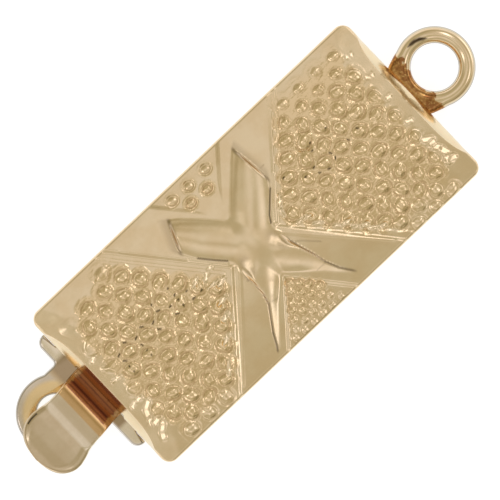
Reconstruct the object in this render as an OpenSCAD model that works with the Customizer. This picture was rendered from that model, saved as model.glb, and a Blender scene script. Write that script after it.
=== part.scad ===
// Rectangular clip clasp for a necklace or bracelet, fastened.
// Millimetres. X runs from the thumb tab to the soldered eyelet, Z up from the table.
// The pieces are drawn round the middle of the cover, then shifted so that the origin
// lies under the middle of the whole clasp.

/* [Cover] */
// Length of the cover over its skirt
cover_l = 17.0; // [16.6:0.1:17.4]
// Width of the cover over its skirt
cover_w = 8.0; // [7.8:0.1:8.2]
// Height of the flat field of the cover above the table
field_z = 2.35; // [2.3:0.05:2.5]
// Thickness of the stamped sheet
sheet_t = 0.35; // [0.3:0.05:0.4]
// Corner radius of the cover seen from above
corner_r = 0.45; // [0.35:0.05:0.6]
// Width of the rounded edge at the short ends
end_round = 0.38; // [0.3:0.02:0.44]
// Width of the rounded edge along the long sides
side_round = 0.24; // [0.2:0.02:0.3]
// Width of the plain sloping border inside the rounded edge
border_w = 0.7; // [0.6:0.05:0.8]
// How far the border falls from the field to the edge
border_drop = 0.14; // [0.08:0.02:0.18]

/* [Raised cross] */
// Angle between each arm and the length of the cover
arm_deg = 50; // [49:0.5:51]
// Width of the flat ribbon under each bar
ribbon_w = 2.1; // [2.0:0.05:2.2]
// Height of the ribbon above the field
ribbon_h = 0.08; // [0.06:0.01:0.12]
// Width of the rounded bar where the arms cross
bar_w = 1.6; // [1.4:0.05:1.7]
// Height of the bar above the ribbon where the arms cross
bar_h = 0.24; // [0.18:0.02:0.3]
// Distance from the crossing to where a bar sinks into its ribbon
bar_reach = 3.85; // [3.6:0.05:3.9]

/* [Domes] */
// Diameter of a dome at the field
dome_d = 0.64; // [0.56:0.02:0.66]
// Height of a dome
dome_h = 0.15; // [0.1:0.01:0.18]
// Spacing of neighbouring domes in a row
dome_pitch_x = 0.916; // [0.9:0.002:0.93]
// Spacing of the rows
dome_pitch_y = 0.575; // [0.56:0.005:0.58]

/* [Tongue] */
// Thickness of the tongue plate
plate_t = 0.4; // [0.35:0.05:0.4]
// Width of the blade that slides into the box
blade_w = 4.7; // [4.5:0.1:4.8]
// Distance of the blade's inner end past the middle of the cover
blade_end = 4.2; // [3.6:0.1:4.6]
// Width of the shoulder that stops against the skirt
shoulder_w = 5.85; // [5.6:0.05:6.0]
// Outer diameter of the flat ring
flat_ring_d = 3.18; // [3.1:0.02:3.3]
// Hole diameter of the flat ring
flat_hole_d = 1.49; // [1.4:0.01:1.6]

/* [Eyelet] */
// Thickness of the eyelet's round wire
wire_d = 0.68; // [0.6:0.02:0.74]
// Outer diameter of the eyelet
eyelet_d = 3.24; // [3.2:0.02:3.3]
// Diameter of the short straight land inside the eyelet
eyelet_land_d = 1.94; // [1.93:0.01:1.98]

/* [Spring leaf] */
// Thickness of the leaf
leaf_t = 0.3; // [0.25:0.05:0.3]
// Width of the leaf behind the catch
leaf_w = 4.4; // [4.2:0.1:4.4]
// Width of the strap that leaves the box
strap_w = 2.31; // [2.2:0.05:2.4]
// Width of the thumb tab
tab_w = 2.86; // [2.8:0.02:3.0]

/* [Hidden] */

// Small running gap between pieces that lie on each other
gap = 0.05;

// Levels above the table
skirt_foot_z = 0.1;
tray_floor_t = 0.3;
plate_z = tray_floor_t + 2 * gap;
slot_low_z = plate_z - gap;
slot_top_z = 1.3;
notch_top_z = 1.72;
ceiling_z = field_z - sheet_t;
eyelet_z = 1.1;
tab_z = 2.36;

// Places along the clasp, from the middle of the cover
wall_x = cover_l / 2;
eyelet_x = 9.88;
eyelet_y = 0.2;
eyelet_ring_r = (eyelet_d - wire_d) / 2;
shoulder_out = 0.45;
flat_ring_x = -10.33;
flat_ring_y = 0.58;
blade_y = 0.2;
catch_x = -wall_x + sheet_t + gap;
tab_tip_x = -12.08;
tab_y = -0.2;

// Shoulder, neck and ring of the tongue plate
shoulder_x = -wall_x - gap;
shoulder_y = 0.25;
shoulder_r = 0.38;
ring_neck_w = 2.86;
ring_neck_deg = asin(ring_neck_w / flat_ring_d);

// Bends of the strap and the inner edge and corners of the thumb tab
strap_bend_x = -9.2;
tab_inner_x = -10.28;
tab_r = 1.05;
tab_inner_r = 0.4;

// How far the inner end of the tab stands aside of the strap
strap_lean = 0.16;

// Underside of the leaf as x, z points from the thumb tab to the fold, and how far
// its upper side stands off each point, which is slanted on the steep stretch
steep_part = 0.62;
leaf_root_z = plate_z + plate_t + 0.12;
leaf_catch_z = slot_top_z + gap;
leaf_under = [
    [tab_tip_x - 0.01, tab_z - leaf_t - 0.12],
    [tab_tip_x + 0.7, tab_z - leaf_t],
    [tab_inner_x, tab_z - leaf_t + 0.02],
    [-9.55, tab_z - leaf_t - 0.04],
    [-9.25, tab_z - leaf_t - 0.16],
    [-8.72, leaf_catch_z + 0.06],
    [-8.55, leaf_catch_z],
    [catch_x, leaf_catch_z],
    [blade_end - 1.0, leaf_root_z],
    [blade_end + gap, leaf_root_z]];
leaf_rise = [for (i = [0:len(leaf_under) - 1])
    i == 4 || i == 5 ? [-leaf_t, leaf_t] * steep_part : [0, leaf_t]];
fold_z = (plate_z + leaf_root_z + leaf_t) / 2;
fold_r = leaf_root_z + leaf_t - fold_z;

// The middle of the whole clasp moves to the origin
shift_x = -(tab_tip_x + eyelet_x + eyelet_d / 2) / 2;

// Half sizes of the top surface
field_hx = wall_x - end_round - border_w;
field_hy = cover_w / 2 - side_round - border_w;
ribbon_z = field_z + ribbon_h;

// Radius of the circle whose cap is the bar's section
bar_r = (bar_w * bar_w / 4 + bar_h * bar_h) / (2 * bar_h);

// Bottom of the box, the end wall on it, and the neck that joins the eyelet to that wall
tray_l = cover_l - 2 * sheet_t - 2 * gap;
tray_w = cover_w - 2 * sheet_t - 2 * gap;
end_wall_t = 0.3;
end_wall_h = 1.6;
neck_w = 2.3;
neck_h = 0.56;
neck_end_x = eyelet_x - 0.85;
neck_end_w = 2.72;

// Play of the blade in its slot and of the strap in its notch, both sides together
slot_play = 0.5;
notch_play = 0.4;

// How far a dome may reach under the edge of a ribbon
dome_tuck = 0.08;

// Corner radius of the hollow under the cover, and how far its top edge is rounded
hollow_r = 0.2;
hollow_round = 0.25;

// Place of one dome in each field: left, right, and the two between the arms
phase_left = [-6.0, -0.23];
phase_right = [5.53, -0.125];
phase_upper = [-0.33, -0.09];
phase_lower = [0.458, -0.325];

// Distance of a point from the nearer arm's centre line
function arm_distance(p) = min(
    abs(p.x * sin(arm_deg) - p.y * cos(arm_deg)),
    abs(p.x * sin(arm_deg) + p.y * cos(arm_deg)));

// True where a dome stands clear of the ribbons and of the edge
function dome_fits(p) =
    arm_distance(p) > (ribbon_w + dome_d) / 2 - dome_tuck
    && abs(p.x) < field_hx - gap
    && abs(p.y) < field_hy + dome_d;

// How far the sloping border has fallen below the field at a point
function border_fall(p) = border_drop * max(0,
    (abs(p.x) - field_hx) / border_w, (abs(p.y) - field_hy) / border_w);

// Which field a point lies in: -1 left, 1 right, 2 upper and -2 lower between the arms
function field_of(p) =
    abs(p.x) * tan(arm_deg) > abs(p.y) ? sign(p.x) : 2 * sign(p.y);

// Rows of domes, every second row shifted by half a pitch
function dome_sites(phase, side) = [
    for (row = [-8:8]) for (step = [-20:20])
        let (p = phase + [(step + (row % 2 == 0 ? 0 : 0.5)) * dome_pitch_x,
                          row * dome_pitch_y])
        if (field_of(p) == side && dome_fits(p)) p];

// Four thin corner discs of one level of the cover, inset from its foot by dx and dy
module cover_level(z, dx, dy, r) {
    for (sx = [-1, 1]) for (sy = [-1, 1])
        translate([sx * (wall_x - dx - r), sy * (cover_w / 2 - dy - r), z])
            cylinder(r = r, h = 0.01, $fn = 24);
}

// The cover's outer form: upright skirt, rounded edge, sloping border, flat field
module cover_form() {
    edge_z = field_z - border_drop;
    steps = 4;
    hull() {
        cover_level(skirt_foot_z, 0, 0, corner_r);
        for (i = [0:steps]) {
            a = 90 * i / steps;
            cover_level(edge_z - end_round * (1 - sin(a)),
                        end_round * (1 - cos(a)),
                        side_round * (1 - cos(a)), corner_r);
        }
        cover_level(field_z - 0.01, wall_x - field_hx, cover_w / 2 - field_hy, 0.1);
    }
}

// The hollow under the cover
module cover_hollow() {
    hull() {
        cover_level(-1, sheet_t, sheet_t, hollow_r);
        cover_level(ceiling_z - hollow_round, sheet_t, sheet_t, hollow_r);
        cover_level(ceiling_z - 0.01, sheet_t + hollow_round, sheet_t + hollow_round,
                    hollow_r);
    }
}

// Both flat ribbons, following the cover's form a little above it
module ribbons() {
    intersection() {
        translate([0, 0, ribbon_h]) cover_form();
        for (a = [-arm_deg, arm_deg])
            rotate([0, 0, a])
                translate([0, 0, ceiling_z + sheet_t / 2 + 0.5])
                    cube([cover_l, ribbon_w, 1], center = true);
    }
}

// Thin slice of a bar: the cap of a circle that is bar_w wide and bar_h high,
// made smaller by the factor k, standing on the ribbon
module bar_slice(k) {
    half_deg = asin(bar_w / 2 / bar_r);
    rotate([90, 0, 90])
        linear_extrude(0.02, center = true)
            polygon([for (i = [-4:4])
                let (a = half_deg * i / 4)
                [bar_r * sin(a) * sqrt(k), (bar_r * cos(a) - bar_r + bar_h) * k]]);
}

// One rounded bar that bows down towards both ends
module bar() {
    steps = 6;
    last = 0.98;
    translate([0, 0, ribbon_z - 0.01])
        hull()
            for (i = [-steps:steps])
                let (u = last * i / steps)
                translate([u * bar_reach, 0, 0])
                    bar_slice(1 - u * u);
}

// One eight-sided dome: a short foot in the field, a shoulder and a low point
module dome() {
    foot = 0.02;
    shoulder_h = dome_h * 0.68;
    shoulder_d = dome_d * 0.66;
    hull() {
        translate([0, 0, -foot])
            cylinder(d = dome_d, h = foot, $fn = 8);
        cylinder(d1 = dome_d, d2 = shoulder_d, h = shoulder_h, $fn = 8);
        translate([0, 0, shoulder_h])
            cylinder(d1 = shoulder_d, d2 = 0, h = dome_h - shoulder_h, $fn = 8);
    }
}

module domes() {
    sites = concat(dome_sites(phase_left, -1), dome_sites(phase_right, 1),
                   dome_sites(phase_upper, 2), dome_sites(phase_lower, -2));
    for (p = sites)
        translate([p.x, p.y, field_z - border_fall(p)])
            dome();
}

module cover() {
    color([0.80, 0.71, 0.53])
        translate([shift_x, 0, 0])
            difference() {
                union() {
                    cover_form();
                    ribbons();
                    for (a = [-arm_deg, arm_deg]) rotate([0, 0, a]) bar();
                    domes();
                }
                cover_hollow();
                // Slot for the blade, and above it the notch for the strap
                translate([-wall_x - 1, -(blade_w + slot_play) / 2, slot_low_z])
                    cube([2, blade_w + slot_play, slot_top_z - slot_low_z]);
                translate([-wall_x - 1, -(strap_w + notch_play) / 2, slot_low_z])
                    cube([2, strap_w + notch_play, notch_top_z - slot_low_z]);
                // Notch for the neck of the eyelet
                translate([wall_x - 1, eyelet_y - neck_w / 2 - gap, -1])
                    cube([2, neck_w + 2 * gap, eyelet_z + neck_h / 2 + gap + 1]);
            }
}

// Bottom plate of the box inside the skirt
module box() {
    color([0.74, 0.65, 0.48])
        translate([shift_x - tray_l / 2, -tray_w / 2, 0])
            cube([tray_l, tray_w, tray_floor_t]);
}

// Neck of solder between the end wall and the eyelet
module eyelet_neck() {
    root_x = tray_l / 2 - end_wall_t / 2;
    translate([0, eyelet_y, eyelet_z - neck_h / 2])
        linear_extrude(neck_h)
            polygon([[root_x, -neck_w / 2], [wall_x, -neck_w / 2],
                     [neck_end_x, -neck_end_w / 2], [neck_end_x, neck_end_w / 2],
                     [wall_x, neck_w / 2], [root_x, neck_w / 2]]);
}

// Round wire eyelet, soldered through the skirt's notch to the end wall of the box
module eyelet() {
    wall_low_z = tray_floor_t + gap;
    color([0.78, 0.68, 0.50])
        translate([shift_x, 0, 0])
            difference() {
                union() {
                    translate([eyelet_x, eyelet_y, eyelet_z])
                        rotate_extrude($fn = 64)
                            translate([eyelet_ring_r, 0])
                                circle(d = wire_d, $fn = 32);
                    eyelet_neck();
                    translate([tray_l / 2 - end_wall_t, -tray_w / 2, wall_low_z])
                        cube([end_wall_t, tray_w, end_wall_h - wall_low_z]);
                }
                translate([eyelet_x, eyelet_y, eyelet_z - 1])
                    cylinder(d = eyelet_land_d, h = 2, $fn = 64);
            }
}

// Points along an arc
function arc(c, r, from, to, steps = 8) = [
    for (i = [0:steps])
        let (a = from + (to - from) * i / steps)
        c + r * [cos(a), sin(a)]];

// Outline of the tongue plate: blade, shoulder with rounded ends, neck, and the
// flat ring, which stands a little to one side on the real plate
function tongue_outline() = concat(
    [[blade_end, blade_y - blade_w / 2], [shoulder_x, blade_y - blade_w / 2],
     [shoulder_x, shoulder_y - shoulder_w / 2]],
    arc([shoulder_x - shoulder_out + shoulder_r,
         shoulder_y - shoulder_w / 2 + shoulder_r], shoulder_r, 270, 180),
    [[shoulder_x - shoulder_out, flat_ring_y - ring_neck_w / 2]],
    arc([flat_ring_x, flat_ring_y], flat_ring_d / 2, 360 - ring_neck_deg, ring_neck_deg, 40),
    [[shoulder_x - shoulder_out, flat_ring_y + ring_neck_w / 2]],
    arc([shoulder_x - shoulder_out + shoulder_r,
         shoulder_y + shoulder_w / 2 - shoulder_r], shoulder_r, 180, 90),
    [[shoulder_x, shoulder_y + shoulder_w / 2], [shoulder_x, blade_y + blade_w / 2],
     [blade_end, blade_y + blade_w / 2]]);

module tongue_plate() {
    color([0.85, 0.73, 0.50])
        translate([shift_x, 0, 0])
            difference() {
                translate([0, 0, plate_z])
                    linear_extrude(plate_t)
                        polygon(tongue_outline());
                translate([flat_ring_x, flat_ring_y, 0])
                    cylinder(d = flat_hole_d, h = 2, $fn = 64);
            }
}

// Outline of the leaf: wide spring, strap through the notch, rounded thumb tab
function leaf_outline() = concat(
    [[blade_end + 2, -leaf_w / 2], [catch_x, -leaf_w / 2], [catch_x, -strap_w / 2],
     [strap_bend_x, -strap_w / 2], [tab_inner_x + gap, -strap_w / 2 - strap_lean]],
    arc([tab_inner_x - tab_inner_r, tab_y - tab_w / 2 + tab_inner_r], tab_inner_r, 360, 270, 4),
    arc([tab_tip_x + tab_r, tab_y - tab_w / 2 + tab_r], tab_r, 270, 180),
    arc([tab_tip_x + tab_r, tab_y + tab_w / 2 - tab_r], tab_r, 180, 90),
    arc([tab_inner_x - tab_inner_r, tab_y + tab_w / 2 - tab_inner_r], tab_inner_r, 90, 0, 4),
    [[tab_inner_x + gap, strap_w / 2 - strap_lean], [strap_bend_x, strap_w / 2],
     [catch_x, strap_w / 2], [catch_x, leaf_w / 2], [blade_end + 2, leaf_w / 2]]);

// The leaf seen from the side: its underside from the thumb tab to the fold, the
// fold that turns back under to the end of the blade, and its upper side
function leaf_side() = concat(
    leaf_under,
    arc([blade_end + gap, fold_z], fold_r - leaf_t, 90, -90),
    arc([blade_end + gap, fold_z], fold_r, -90, 90),
    [for (i = [len(leaf_under) - 2:-1:0]) leaf_under[i] + leaf_rise[i]]);

module spring_leaf() {
    color([0.76, 0.69, 0.57])
        translate([shift_x, 0, 0])
            intersection() {
                linear_extrude(2 * field_z) polygon(leaf_outline());
                rotate([90, 0, 0])
                    linear_extrude(cover_w, center = true) polygon(leaf_side());
            }
}

cover();
box();
eyelet();
tongue_plate();
spring_leaf();
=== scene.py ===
"""Gold-plated clip clasp, fastened, lying on a pale table and seen from straight above.

Shapes are worked out in millimetres over the middle of the cover: X towards the round
eyelet, Y across, Z up from the table. to_frame() turns them into metres in the CAD frame.
"""

import bmesh
import bpy
import numpy as np
from mathutils import Matrix, Vector
from mathutils.geometry import tessellate_polygon


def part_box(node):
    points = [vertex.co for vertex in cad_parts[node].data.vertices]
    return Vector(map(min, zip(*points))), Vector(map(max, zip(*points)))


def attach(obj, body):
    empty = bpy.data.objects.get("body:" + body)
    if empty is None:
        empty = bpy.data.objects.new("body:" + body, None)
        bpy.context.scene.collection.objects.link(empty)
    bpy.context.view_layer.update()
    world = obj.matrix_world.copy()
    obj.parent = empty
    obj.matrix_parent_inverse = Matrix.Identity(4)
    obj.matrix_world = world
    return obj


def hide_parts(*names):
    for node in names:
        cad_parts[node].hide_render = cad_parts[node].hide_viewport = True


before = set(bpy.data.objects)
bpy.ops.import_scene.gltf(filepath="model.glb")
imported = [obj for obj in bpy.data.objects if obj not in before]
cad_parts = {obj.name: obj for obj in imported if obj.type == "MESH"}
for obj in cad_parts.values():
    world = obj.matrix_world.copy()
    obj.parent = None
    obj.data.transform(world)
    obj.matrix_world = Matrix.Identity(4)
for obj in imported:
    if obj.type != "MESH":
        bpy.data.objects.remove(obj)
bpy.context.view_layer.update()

MM = 0.001

# Farther than any distance that counts, in millimetres
FAR = 9.0


def node_size(node):
    """Lowest and highest corner of a CAD node in millimetres."""
    low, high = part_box(node)
    return np.array(low) / MM, np.array(high) / MM


# Driving sizes, taken from the frame
cover_low, cover_high = node_size("cover")
tongue_low, tongue_high = node_size("tongue_plate")
leaf_low, _ = node_size("spring_leaf")
SHIFT_X = (cover_low[0] + cover_high[0]) / 2
HALF_L = (cover_high[0] - cover_low[0]) / 2
HALF_W = (cover_high[1] - cover_low[1]) / 2
FOOT_Z = cover_low[2]

# The cover's sheet, field, borders and rounded edges
FIELD_Z = 2.275
SHEET_T = 0.35
FIELD_HX = 7.42
FIELD_HY = 3.06
BORDER_W = 0.7
END_DROP = 0.06
SIDE_DROP = 0.03
CAMBER = 0.20
END_ROUND = 0.38
END_ROUND_HY = 3.2
SIDE_ROUND = 0.10
SIDE_FALL = 0.14
CORNER_R = 0.45
TOP_CORNER_R = 0.3
CEILING_Z = FIELD_Z - SHEET_T
SPLIT = (1.0 - CORNER_R / HALF_L, 1.0 - CORNER_R / HALF_W)

# The raised cross
ARM = np.radians(50.0)
CROSS = np.array([-0.085, 0.04])
RIBBON_H = 0.11
STEP_H = 0.035
BAR_H = 0.25
BAR_SINK = 0.02

# The punched domes: each may lean, and be a little out of round
DOME_R = 0.30
DOME_H = 0.085
DOME_LEAN = 0.22
DOME_WOBBLE = 0.10
GROOVE_R = 0.45
GROOVE_D = 0.022
RIDGE_R = 0.405
RIDGE_H = 0.004
RIDGE_HALF = 0.05

# Low waves: left by the punch's chatter in the fields, in the whole sheet, and on the border
CHATTER = 0.005
SHEET_WAVES = 0.0035
BORDER_WAVES = 0.003
BORDER_WAVES_START = (7.3, 3.1)

# The arms of the cross: side of X, side of Y; where the flat of the ribbon ends and where
# the lower step ends, from the arm's middle line; and the width of the slopes there.
# Inner means towards X = 0.
ARM_COLUMNS = ("side_x", "side_y", "inner", "inner_slope", "outer", "outer_slope", "step")
ARMS = {name: dict(zip(ARM_COLUMNS, row)) for name, row in {
    "upper left": (-1, 1, 0.93, 0.26, 0.86, 0.15, 1.24),
    "upper right": (1, 1, 1.10, 0.34, 0.86, 0.20, 1.20),
    "lower left": (-1, -1, 1.04, 0.16, 0.80, 0.15, 1.20),
    "lower right": (1, -1, 1.06, 0.18, 0.78, 0.15, 1.20)}.items()}

# The two crossing bars, each from its lower end (negative) to its upper end: distance along
# it, its two feet across it, place of the crest between them from -1 to 1, its height as a
# share of BAR_H, and how square its long side is. Each runs up to one side, where its upper
# end is cut off at a slant: place of the cut on the middle line, and how much further along
# it lies across.
BAR_COLUMNS = ("along", "low_foot", "high_foot", "crest", "height", "square")
BARS = {name: dict(zip(BAR_COLUMNS, np.array(rows).T)) for name, rows in {
    "upper left": (
        (-4.2, -0.64, -0.57, 0.8, 0.0, 1.2), (-3.85, -0.70, -0.54, 0.8, 0.14, 1.2),
        (-3.4, -0.76, -0.49, 0.8, 0.26, 1.2), (-2.85, -0.80, -0.33, 0.8, 0.42, 1.2),
        (-2.4, -0.84, -0.10, 0.82, 0.66, 1.6), (-1.8, -0.90, 0.14, 0.85, 0.95, 2.6),
        (-1.35, -0.98, 0.36, 0.5, 1.0, 2.2), (-0.9, -0.98, 0.70, 0.0, 1.0, 2.0),
        (0.0, -0.82, 0.82, 0.0, 1.0, 2.0), (1.4, -0.83, 0.83, 0.0, 1.0, 2.0),
        (2.2, -0.82, 0.78, 0.0, 0.98, 2.0), (3.0, -0.67, 0.69, 0.0, 0.90, 2.0),
        (3.6, -0.52, 0.54, 0.0, 0.80, 2.0), (4.2, -0.30, 0.40, 0.0, 0.60, 2.0)),
    "upper right": (
        (-4.35, -0.74, -0.68, 0.8, 0.0, 1.2), (-4.0, -0.82, -0.645, 0.8, 0.20, 1.2),
        (-3.5, -0.86, -0.53, 0.8, 0.34, 1.2), (-2.9, -0.86, -0.475, 0.8, 0.46, 1.2),
        (-2.37, -0.86, -0.43, 0.8, 0.58, 1.3), (-1.95, -0.89, -0.23, 0.85, 0.80, 2.4),
        (-1.5, -0.96, 0.10, 0.85, 0.98, 2.6), (-1.3, -0.98, 0.35, 0.5, 1.0, 2.2),
        (-0.9, -0.98, 0.70, 0.0, 1.0, 2.0), (0.0, -0.80, 0.86, 0.0, 1.0, 2.0),
        (1.3, -0.78, 0.90, 0.0, 1.0, 2.0), (2.2, -0.77, 0.82, 0.0, 0.98, 2.0),
        (3.2, -0.65, 0.72, 0.0, 0.90, 2.0), (3.7, -0.52, 0.65, 0.0, 0.80, 2.0),
        (4.2, -0.40, 0.50, 0.0, 0.60, 2.0))}.items()}
BAR_ENDS = {"upper left": (3.28, 0.50), "upper right": (3.32, 0.95)}
BAR_END_W = 0.24

# Painted shade on the bars: how dark, middle and half width. It lies along the steep cut at
# a bar's end, as a softer painted shadow past that cut, and along the foot of a fold.
END_SHADE = (0.52, 0.12, 0.095)
SOFT_SHADOW = (0.22, -0.04, 0.38)
FOLD_SHADE = (0.72, -0.02, 0.042)

# Fine lines on the cover: height of the ridge (a groove is negative), half width, how dark
# the painted shade in it is, and the points that it passes
LINE_COLUMNS = ("height", "half_width", "shade_and_specks", "points")
LINES = [dict(zip(LINE_COLUMNS, row)) for row in (
    # Sharp creases at the outer feet of the upper bars, darkened with painted shade, and the bright burrs
    # beside them
    (-0.020, 0.036, 0.95, ((-1.27, 0.27), (-1.60, 0.62), (-2.05, 1.15))),
    (-0.020, 0.036, 0.95, ((0.98, 0.18), (1.15, 0.45), (1.90, 1.20))),
    (0.040, 0.060, 0.0, ((-1.36, 0.16), (-1.78, 0.66), (-2.35, 1.34))),
    (0.016, 0.060, 0.0, ((-2.35, 1.34), (-4.10, 3.42))),
    (0.050, 0.062, 0.0, ((1.14, 0.10), (1.62, 0.66), (2.40, 1.50))),
    (0.022, 0.060, 0.0, ((2.40, 1.50), (4.05, 3.46))),
    # Small creases beside the bars, only painted: flat lines of painted shade
    (0.0, 0.036, 0.40, ((-1.25, -0.82), (-1.14, -0.90), (-1.10, -1.02))),
    (0.0, 0.036, 0.40, ((0.98, -0.86), (1.06, -1.02))),
    (0.0, 0.036, 0.32, ((2.33, 2.02), (2.12, 2.02))),
    (0.0, 0.036, 0.30, ((0.98, -0.86), (1.35, -1.12), (1.90, -1.68))),
    (0.0, 0.036, 0.20, ((-1.22, -2.04), (-0.84, -2.14))),
    (0.0, 0.036, 0.20, ((1.02, -2.40), (1.40, -2.42))),
    # Bright burrs along the outer edges of the lower ribbons
    (0.016, 0.065, 0.0, ((-1.16, -0.30), (-2.60, -1.95), (-4.18, -3.72))),
    (0.014, 0.055, 0.0, ((-2.70, -1.35), (-3.50, -2.40), (-4.55, -3.68))),
    (0.016, 0.065, 0.0, ((0.98, -0.30), (2.00, -1.45), (3.00, -2.52), (4.05, -3.66))),
    # Low swellings at the corner and the border
    (0.030, 0.32, 0.0, ((-7.66, 2.72), (-7.45, 2.70))),
    (0.035, 0.10, 0.0, ((-7.72, 0.55), (-7.50, 0.38))))]

# Slopes of a graze mark's fall along X and along Y
GRAZE_FALL = (0.29, 0.14)

# Marks where a punch only grazed the metal: half width, and the points that it passes
GRAZES = (
    (0.074, ((-7.88, 1.08), (-7.64, 1.12))), (0.061, ((-7.80, -0.06), (-7.42, -0.10))),
    (0.088, ((-7.92, -1.30), (-7.66, -1.22), (-7.42, -1.28))),
    (0.128, ((-7.34, -1.60), (-7.62, -1.74), (-7.72, -2.06), (-7.80, -2.28), (-7.46, -2.44),
             (-7.50, -2.62), (-7.76, -2.82), (-7.84, -3.02))),
    (0.081, ((7.60, 1.74), (7.74, 1.62), (7.88, 1.68))), (0.081, ((7.62, 0.56), (7.80, 0.60))),
    (0.095, ((7.55, -0.62), (7.76, -0.66))), (0.081, ((7.58, 2.84), (7.72, 2.78), (7.84, 2.82))),
    (0.144, ((7.58, -1.60), (7.82, -1.76), (7.66, -1.98), (7.84, -2.26), (7.88, -2.62),
             (7.70, -2.84), (7.98, -2.86))),
    (0.061, ((-2.90, 0.45), (-2.62, 0.62))), (0.068, ((-2.45, 0.32), (-2.12, 0.50), (-1.90, 0.55))),
    (0.054, ((-2.55, 0.00), (-2.05, -0.02))), (0.068, ((-2.20, -0.20), (-1.85, -0.10))),
    (0.068, ((-2.70, -0.75), (-2.25, -0.66))), (0.068, ((-3.00, -1.32), (-2.66, -1.20))),
    (0.068, ((-3.60, -2.00), (-3.22, -1.84))), (0.061, ((-4.30, -3.00), (-3.95, -2.60))),
    (0.068, ((1.55, 0.06), (1.62, 0.34), (1.96, 0.74))),
    (0.061, ((1.75, -0.52), (2.05, -0.56), (2.30, -0.66))), (0.061, ((2.20, -1.00), (2.45, -1.20))),
    (0.068, ((2.72, -1.62), (2.92, -1.80), (3.32, -1.86))),
    (0.068, ((3.20, -2.12), (3.45, -2.36), (3.72, -2.42))),
    (0.068, ((3.66, -2.62), (3.92, -2.86), (4.20, -2.92))), (0.061, ((4.12, -3.20), (4.32, -3.42))))

# Dark specks where punches met: their half width, and the place, direction in degrees and
# half length of each
SPECK_HALF = 0.032
SPECKS = (
    (-6.90, 0.52, 25, 0.06), (-6.40, 0.73, -35, 0.06), (-5.95, 0.55, 20, 0.06), (-5.50, 0.72, -35, 0.06),
    (-5.05, 0.53, 25, 0.06), (-4.60, 0.73, -15, 0.06), (-4.12, 0.53, 5, 0.04), (-3.70, 0.74, 30, 0.04),
    (-6.88, 0.20, -40, 0.06), (-5.97, 0.20, -70, 0.04), (-5.05, 0.18, -40, 0.07), (-4.12, 0.13, -30, 0.07),
    (-3.72, 0.50, 0, 0.02), (-3.72, 0.20, 80, 0.03), (-3.72, 1.10, 20, 0.02), (-3.25, 0.53, 0, 0.02),
    (-3.24, 0.12, 0, 0.06), (-5.97, -0.09, 0, 0.01), (-5.97, -0.35, 0, 0.01), (-6.90, -0.08, 80, 0.02),
    (-6.90, -0.35, 0, 0.01), (-4.62, 1.08, 50, 0.03), (-2.80, 0.15, 20, 0.03), (4.10, 1.12, 10, 0.03),
    (3.70, 0.60, 10, 0.04), (4.55, 0.57, -60, 0.05), (4.56, 0.30, 50, 0.05), (4.10, 0.16, -10, 0.04),
    (3.72, 0.30, -20, 0.03), (5.10, 1.42, 0, 0.02), (5.42, 0.45, -65, 0.05), (4.25, 1.40, 0, 0.02),
    (5.98, 0.55, -50, 0.04), (2.55, 1.12, 20, 0.03), (3.20, 0.55, 0, 0.03))

# Painted shade in the crossing's saddles, which dims the bright reflections there: how dark, how wide, and
# where
SADDLE_SHADE_DARK = 0.26
SADDLE_SHADE_R = 0.42
SADDLE_SHADES = ((-0.84, -0.26), (0.63, -0.28), (-0.98, -0.66), (0.84, -0.70))

# Fields of domes: a dome's place, spacing in a row, spacing of rows, and size
FIELD_COLUMNS = ("x", "y", "pitch_x", "pitch_y", "size")
FIELDS = {name: dict(zip(FIELD_COLUMNS, row)) for name, row in {
    "left": (-6.0, -0.23, 0.918, 0.585, 1.0),
    "right": (5.53, -0.125, 0.920, 0.563, 1.0),
    "upper": (-0.35, 3.47, 0.90, 0.60, 0.64),
    "lower": (0.0, -3.2, 0.48, 0.29, 0.52)}.items()}

# Where punches struck. The left field keeps off its upper border, but for one dome, and off
# its lower corner.
STRUCK_X = 7.45
STRUCK_Y = (-3.82, 3.60)
UPPER_START = 2.4
LEFT_TOP = 3.1
LONE_DOME_X = -5.2
LEFT_CORNER = (-7.1, -2.6)

# Where domes weaken or get smaller, and where the punched mask fades round a dome and over
# the borders: start, width, and the share that is lost
WEAK_ABOVE = (2.4, 1.0, 0.35)
WEAK_BELOW = (2.8, 0.9, 0.25)
WEAK_LEFT = (7.1, 0.35, 0.6)
SMALL_ABOVE = (2.4, 0.4, 0.3)
NEAR_DOME = (0.46, 0.16, 1.0)
NEAR_SIDES = (3.0, 0.6, 0.7)
NEAR_ENDS = (FIELD_HX, 0.2, 0.9)


def held(t):
    """t held between 0 and 1."""
    return np.clip(t, 0.0, 1.0)


def ease(t):
    """Smooth step: 3t^2 - 2t^3 with t held between 0 and 1."""
    t = held(t)
    return t * t * (3.0 - 2.0 * t)


def fade(value, start, width, share=1.0):
    """What is left of something that loses a share, eased in over a width past the start."""
    return 1.0 - share * ease((value - start) / width)


def soft_max(a, b, k):
    """Larger of a and b, with the corner between them rounded over the width k."""
    h = held(0.5 + 0.5 * (a - b) / k)
    return b + (a - b) * h + k * h * (1.0 - h)


def scatter(*numbers):
    """Even pseudo-random value from 0 to 1 for whole numbers: the broken part of a sine."""
    total = sum(np.asarray(n, float) * k for n, k in zip(numbers, (12.9898, 78.233, 37.719)))
    return np.mod(np.sin(total) * 43758.5453, 1.0)


def ripple(x, y, seed, size):
    """Smooth low waves: a sum of six sines in different directions, from about -1 to 1."""
    total = 0.0
    for i in range(6):
        turn = 2.4 * i + seed
        wave = 2.0 * np.pi / (size * (0.7 + 0.13 * i))
        total = total + np.sin(wave * (x * np.cos(turn) + y * np.sin(turn)) + 1.7 * i * seed)
    return total / 4.0


def arm_coordinates(x, y, arm):
    """Distance along an arm from the crossing, and across it, positive on its inner side."""
    dx, dy = (x - CROSS[0]) * arm["side_x"], (y - CROSS[1]) * arm["side_y"]
    return dx * np.cos(ARM) + dy * np.sin(ARM), dy * np.cos(ARM) - dx * np.sin(ARM)


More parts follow.
